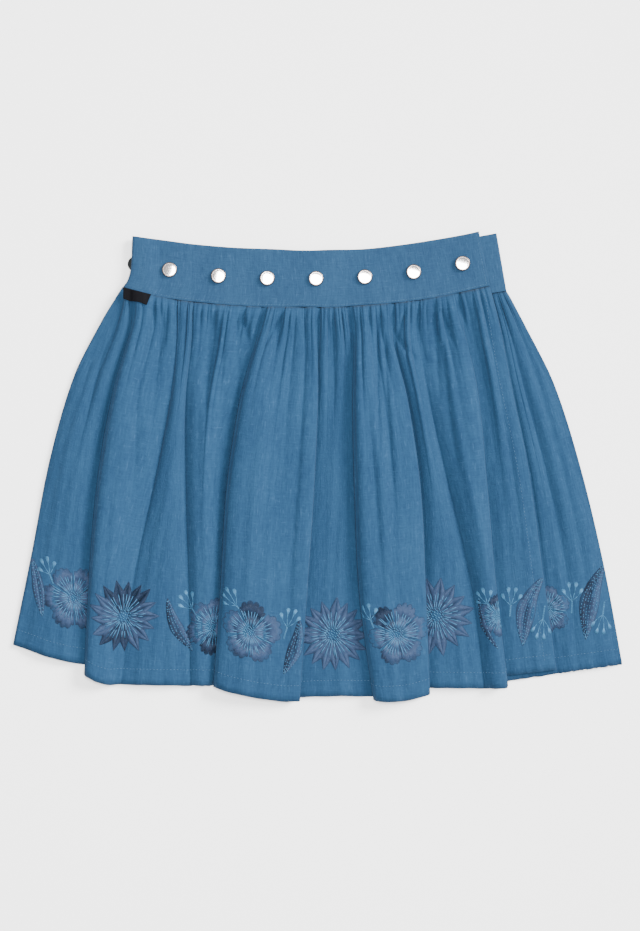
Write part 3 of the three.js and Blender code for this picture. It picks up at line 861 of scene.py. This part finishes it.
# Leaves, with their width at the middle, how far they bow to the left, and their left half's thread
LEAVES = table(
    "cloth tip foot width bow half",
    ("front", (-287, -98), (-275, -150), 13, -1, "MAUVE"),
    ("front", (-152, -132), (-125, -184), 13, 5, "NAVY"),
    ("front", (-18, -153), (-34, -207), 15, -4, "NAVY"),
    ("front", (160, -130), (180, -182), 6, 5, "NAVY"),
    ("front", (225, -115), (205, -179), 19, 7, "MAUVE"),
    ("under", (287, -103), (268, -173), 20, 6, "NAVY"),
)

# Sprigs from the foot of the stem to the middle of the berries
SPRIGS = table(
    "cloth foot head",
    ("front", (-264, -117), (-272, -101)),
    ("front", (-118, -153), (-134, -132)),
    ("front", (-72, -148), (-90, -132)),
    ("front", (-34, -172), (-27, -148)),
    ("front", (56, -161), (49, -144)),
    ("front", (174, -144), (164, -128)),
    ("front", (192, -150), (194, -128)),
    ("front", (227, -139), (223, -165)),
    ("under", (254, -147), (255, -123)),
    ("under", (287, -135), (283, -160)),
)

CLOTHS = {"front": front_cloth, "under": under_cloth}
needle = np.random.default_rng(21)
work = {}


def ground_at(cloth_name, place):
    """A motif's cloth, the point of it that it is sewn from, and the place's distance from there."""
    cloth = CLOTHS[cloth_name]
    start = cloth.top_at(*place)
    return cloth_name, start, cloth.apart(start, *place)


def from_ground(ground, place):
    """How far another place of the plan lies from the motif's own, along the cloth."""
    cloth_name, start, offset = ground
    return CLOTHS[cloth_name].apart(start, *place) - offset


def sew(ground, thread, ends, width):
    """Keeps straight threads for later, from rows of start x, start y, end x and end y in mm."""
    cloth_name, start, offset = ground
    ends = np.asarray(ends, float) + np.tile(offset, 2)
    t = np.linspace(0, 1, 3)
    across = blend(ends[:, :1], ends[:, 2:3], t)
    up = blend(ends[:, 1:2], ends[:, 3:4], t)
    rows, columns = CLOTHS[cloth_name].walk(start, across, up)
    work.setdefault((cloth_name, thread), []).append((rows, columns, np.full(len(rows), width)))


def direction(angle):
    return np.array([math.cos(angle), math.sin(angle)])


def blade(foot, tip, width, bow, lean, fullest, taper):
    """Satin threads of a pointed leaf: for each side, from its spine to its edge.

    The leaf is widest at the share of its length that fullest gives. A taper of 1 draws its sides
    straight to the tip, and a smaller one rounds them. Gives also the points of the spine, half
    the width at each, and the directions to the left and ahead.
    """
    run = tip - foot
    length = float(np.hypot(*run))
    ahead = run / length
    left = np.array([-ahead[1], ahead[0]])
    count = int(length / SATIN)
    t = ((np.arange(count) + 0.5) / count)[:, None]
    spine = foot + run * t + left * bow * np.sin(math.pi * t)
    half = width / 2 * np.where(t < fullest, np.sin(math.pi / 2 * np.minimum(1, t / fullest)) ** 0.8,
                                ((1 - t) / (1 - fullest)) ** taper)
    sides = []
    for side in (1, -1):
        edge = spine + side * left * half + ahead * lean * half
        sides.append(np.concatenate([spine, edge], axis=1))
    return sides, spine, half, left, ahead


def round_petal(radius, angle, spread):
    """Satin threads of a broad petal with a toothed end, fanned from the flower's middle."""
    count = int(round(radius * spread * 2 / SATIN))
    side = (np.arange(count) + 0.5) / count * 2 - 1
    teeth = 0.10 * np.abs(np.sin(2.5 * math.pi * (side + 0.02))) ** 0.7
    outer = radius * (0.92 - 0.22 * np.abs(side) ** 2.4 + teeth)
    middle = radius * 0.55 + needle.uniform(-1.5, 1.5, count)
    lanes = angle + spread * side
    inner_lanes = angle + spread * side * 0.92
    near = radius * 0.10

    def fan(reach, lane):
        return np.stack([reach * np.cos(lane), reach * np.sin(lane)], axis=1)

    rim = fan(outer, lanes)
    inner = np.concatenate([fan(near, inner_lanes), fan(middle + 0.7, inner_lanes)], axis=1)
    outward = np.concatenate([fan(middle - 0.7, inner_lanes), rim], axis=1)
    return np.concatenate([inner, outward]), rim


def shadow_outline(points):
    """Short dark stitches along a line of points, painted shadow along the edges of raised satin."""
    return np.concatenate([points[:-1], points[1:]], axis=1)


def flower_petal(flower, ground, number):
    degrees = (flower["turn"] + 360 * number / flower["petals"]) % 360
    angle = math.radians(degrees + needle.uniform(-3, 3))
    length = flower["radius"] * needle.uniform(0.93, 1.05)
    navy = any(low <= degrees <= high for low, high in flower["navy"])
    thread = "NAVY" if navy else "MAUVE"
    if flower["kind"] == "star":
        width = 1.5 * math.pi * length / flower["petals"]
        tip = length * direction(angle)
        for threads in blade(0.12 * tip, tip, width, 0, 0.7, 0.52, 0.95)[0]:
            sew(ground, thread, threads, SATIN * COVER)
            # the navy stitches along the petal's edges are painted shadow of the raised satin
            sew(ground, "NAVY", shadow_outline(threads[::3, 2:]), 0.5)
    else:
        ends, rim = round_petal(length, angle, 0.94 * math.pi / flower["petals"])
        sew(ground, thread, ends, SATIN * COVER)
        # the navy stitches round the petal's end are painted shadow of the raised satin
        sides = [rim[:1] * 0.45, rim[::2], rim[-1:] * 0.45]
        sew(ground, "NAVY", shadow_outline(np.concatenate(sides)), 0.5)


# Rings of straight stitches round a flower's middle: from, to and how many
RAYS = {
    "star": ((0.36, 0.62, 32), (0.16, 0.40, 28)),
    "round": ((0.42, 0.72, 36), (0.18, 0.46, 30)),
}
for flower in FLOWERS:
    ground = ground_at(flower["cloth"], flower["place"])
    for number in range(flower["petals"]):
        flower_petal(flower, ground, number)
    radius = flower["radius"]
    rays = []
    for ring, (near, far, count) in enumerate(RAYS[flower["kind"]]):
        for number in range(count):
            angle = 2 * math.pi * (number + 0.5 * ring) / count + needle.uniform(-0.06, 0.06)
            way = direction(angle)
            a = radius * (near + needle.uniform(-0.02, 0.05)) * way
            b = radius * (far + needle.uniform(-0.08, 0.04)) * way
            rays.append([*a, *b])
    for number in range(32):
        way = direction(2.4 * number)
        a = 0.04 * radius * math.sqrt(number) * way
        rays.append([a[0] - 0.8, a[1] + 0.8, a[0] + 0.8, a[1] - 0.8])
    sew(ground, "SEED", rays, 0.95)

SEED_LENGTH = 1.2
for leaf in LEAVES:
    ground = ground_at(leaf["cloth"], leaf["foot"])
    foot = np.zeros(2)
    tip = from_ground(ground, leaf["tip"])
    sides, spine, half, left, ahead = blade(foot, tip, leaf["width"], leaf["bow"], 0.5, 0.45, 0.62)
    sew(ground, leaf["half"], sides[0], SATIN * COVER)
    sew(ground, "MAUVE", sides[1], SATIN * COVER)
    # the navy stitches along both edges of the leaf are painted shadow of the raised satin
    for threads in sides:
        sew(ground, "NAVY", shadow_outline(threads[::3, 2:]), 0.6)
    seeds = []
    lanes = int(max(leaf["width"], 8) / 3.0)
    for lane in np.linspace(-0.75, 0.75, lanes):
        for k in range(3, len(spine) - 3, 5):
            i = min(max(int(k + needle.uniform(-2, 2)), 0), len(spine) - 1)
            middle = spine[i] + left * lane * half[i]
            seeds.append([*middle, *(middle + ahead * SEED_LENGTH)])
    sew(ground, "SEED", seeds, 0.9)

BERRIES = ((-8.5, -3.0), (-3.5, 3.5), (3.5, 4.0), (8.5, -2.0))
BERRY = {"length": 6.5, "width": 4.2, "threads": 8}
for sprig in SPRIGS:
    ground = ground_at(sprig["cloth"], sprig["foot"])
    run = from_ground(ground, sprig["head"])
    ahead = run / np.hypot(*run)
    aside = np.array([ahead[1], -ahead[0]])
    fork = run * 0.5
    ends = []
    for lane in (-0.4, 0.4):
        for k in range(6):
            ends.append([*(fork * k / 6 + aside * lane), *(fork * (k + 1.15) / 6 + aside * lane)])
    for lane, reach in BERRIES:
        berry = run + aside * lane + ahead * reach
        bend = blend(fork, berry, 0.5) + aside * lane * 0.14
        ends += [[*fork, *bend], [*bend, *berry]]
        out = (berry - bend) / np.hypot(*(berry - bend))
        over = np.array([out[1], -out[0]])
        for k in range(BERRY["threads"]):
            offset = (k + 0.5) / BERRY["threads"] * 2 - 1
            round_end = BERRY["length"] * (0.62 + 0.38 * math.sqrt(1 - offset ** 2))
            far = berry + over * offset * BERRY["width"] / 2 + out * (round_end - BERRY["length"] / 2)
            near = berry + over * offset * 0.4 - out * BERRY["length"] / 2
            ends.append([*near, *far])
    sew(ground, "SKY", ends, 0.85)

THREADS = {"MAUVE": MAUVE, "NAVY": NAVY, "SKY": SKY, "SEED": SKY}
THREAD_REST = {"MAUVE": 0.26, "NAVY": 0.28, "SKY": 0.3, "SEED": 0.52}
THREAD_HEIGHT = 0.26
for (cloth_name, thread), batches in work.items():
    rows, columns, width = joined(*batches)
    thread_mesh(f"{cloth_name}_{thread.lower()}_embroidery", CLOTHS[cloth_name], rows, columns,
                THREADS[thread], "denim", width, THREAD_HEIGHT, THREAD_REST[thread])


# Tab: a short black woven tape caught in the waist seam at the left, plain. It lies on the
# gathers, so its height follows the highest points of the front there.
TAB = {"left": -193.6, "right": -165.8, "lower_right": -170.2, "length": 11.3, "thick": 0.6}
TAB_COLUMNS = 40
TAB_ROWS = 16
gathers_top = front_cloth.points[:10].reshape(-1, 3)
tab_points = np.empty((TAB_ROWS, TAB_COLUMNS, 3))
for r, down in enumerate(np.linspace(0, 1, TAB_ROWS)):
    right = blend(TAB["right"], TAB["lower_right"], down)
    for c, s in enumerate(np.linspace(0, 1, TAB_COLUMNS)):
        x = blend(TAB["left"], right, s)
        crest = gathers_top[np.abs(gathers_top[:, 0] - x) < 4.0, 2].max()
        wave = 0.5 * math.sin(7 * s) * down
        y = float(seam_y(x, "front")) - 2 * SEAM_GAP - TAB["length"] * down - wave
        tab_points[r, c] = (x, y, crest + SHELL / 2 + 0.3 + TAB["thick"] / 2)
for _ in range(3):
    z = tab_points[..., 2]
    tab_points[:, 1:-1, 2] = (z[:, :-2] + 2 * z[:, 1:-1] + z[:, 2:]) / 4
tab = cloth_piece("woven_tab", Cloth(tab_points), TAB["thick"])
tab_finish = Finish("black_tape", Roughness=0.85, Specular_IOR_Level=0.04)
tab_threads = tab_finish.node("ShaderNodeUVMap", {"uv_map": "threads"}, {})
rib_values = {"Vector": tab_threads, "Scale": 420.0, "Distortion": 1.0}
ribs = tab_finish.node("ShaderNodeTexWave", {"bands_direction": "Y"}, rib_values)
tab_finish.feed("Base Color", tab_finish.mix(ribs, (0.002, 0.002, 0.003), (0.005, 0.005, 0.006)))
tab_finish.feed("Normal", tab_finish.bump(ribs, 0.4, 0.0002))
tab.data.materials.append(tab_finish.material)
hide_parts("seam_tab")
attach(tab, "root")


# Snap caps: pressed bright metal, a shallow dome inside a rolled rim, dull underneath. The rim's
# darker brownish metal and the near-black underside, which shows on the upturned last cap, are
# painted shade. Each is a disc that is inset and raised ring by ring, and a copy lies in the
# place of each of the frame's.
CAP_BASE = (7.1, 0.02)
CAP_PROFILE = [
    (7.50, 0.55), (7.50, 1.05), (7.40, 1.50), (7.15, 1.88), (6.75, 2.12), (6.30, 2.20), (5.90, 2.17),
    (5.50, 2.21), (4.2, 2.25), (2.6, 2.28), (0.8, 2.30),
]
CAP_RIM = 5.95
CAP_UNDERSIDE = 0.3


def metal(name, roughness, fineness, detail, deep, pale):
    """A metal finish with a slightly uneven colour, and the noise that varies it."""
    finish = Finish(name, Metallic=1.0, Roughness=roughness)
    patch = finish.noise(finish.place(), (fineness,) * 3, detail=detail)
    finish.feed("Base Color", finish.mix(patch, deep, pale))
    return finish, patch


cap_finish, polish = metal("bright_metal", 0.08, 900, 3, (0.40, 0.375, 0.37), (0.48, 0.455, 0.45))
cap_finish.feed("Roughness", polish * 0.04 + 0.07)
# painted shade: the rim gets darker brownish metal, the underside near-black metal
rim_shade_finish = metal("rim_painted_shade_metal", 0.3, 700, 3, (0.13, 0.105, 0.096), (0.22, 0.190, 0.178))[0]
underside_shade_finish = metal("underside_painted_shade_metal", 0.5, 500, 2, (0.020, 0.024, 0.026), (0.040, 0.044, 0.046))[0]

bpy.ops.mesh.primitive_circle_add(
    vertices=64, radius=CAP_BASE[0] * MM, fill_type="NGON", location=(0, 0, CAP_BASE[1] * MM))
cap_model = bpy.context.object
bpy.ops.object.mode_set(mode="EDIT")
bpy.ops.mesh.select_all(action="SELECT")
ring = CAP_BASE
for radius, height in CAP_PROFILE:
    bpy.ops.mesh.extrude_region_move(TRANSFORM_OT_translate={"value": (0, 0, (height - ring[1]) * MM)})
    grow = radius / ring[0]
    bpy.ops.transform.resize(value=(grow, grow, 1), center_override=(0, 0, height * MM))
    ring = (radius, height)
bpy.ops.mesh.select_all(action="SELECT")
bpy.ops.mesh.normals_make_consistent(inside=False)
bpy.ops.object.mode_set(mode="OBJECT")
bpy.ops.object.shade_smooth()
# painted shade: rim faces take the darker rim metal, underside faces the near-black metal
for face in cap_model.data.polygons:
    on_rim = math.hypot(face.center.x, face.center.y) > CAP_RIM * MM
    underneath = face.center.z + cap_model.location.z < CAP_UNDERSIDE * MM
    face.material_index = 2 if underneath else int(on_rim)
cap_outline = np.array([vertex.co + cap_model.location for vertex in cap_model.data.vertices])

CAPS = 8
for number in range(1, CAPS + 1):
    node = f"snap_cap_{number}"
    low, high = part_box(node)
    cap = cap_model.copy()
    cap.data = cap_model.data.copy()
    cap.name = f"bright_cap_{number}"
    bpy.context.collection.objects.link(cap)
    middle = np.array([(low[0] + high[0]) / 2, (low[1] + high[1]) / 2, low[2]])
    offset = cap_outline.copy()
    if number == CAPS:
        offset[:, 1:] *= -1
        middle[2] = high[2]
    cap.data.vertices.foreach_set("co", (offset + middle).ravel())
    cap.location = (0, 0, 0)
    cap.data.update()
    for finish in (cap_finish, rim_shade_finish, underside_shade_finish):
        cap.data.materials.append(finish.material)
    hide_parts(node)
    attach(cap, "root")
bpy.data.objects.remove(cap_model)
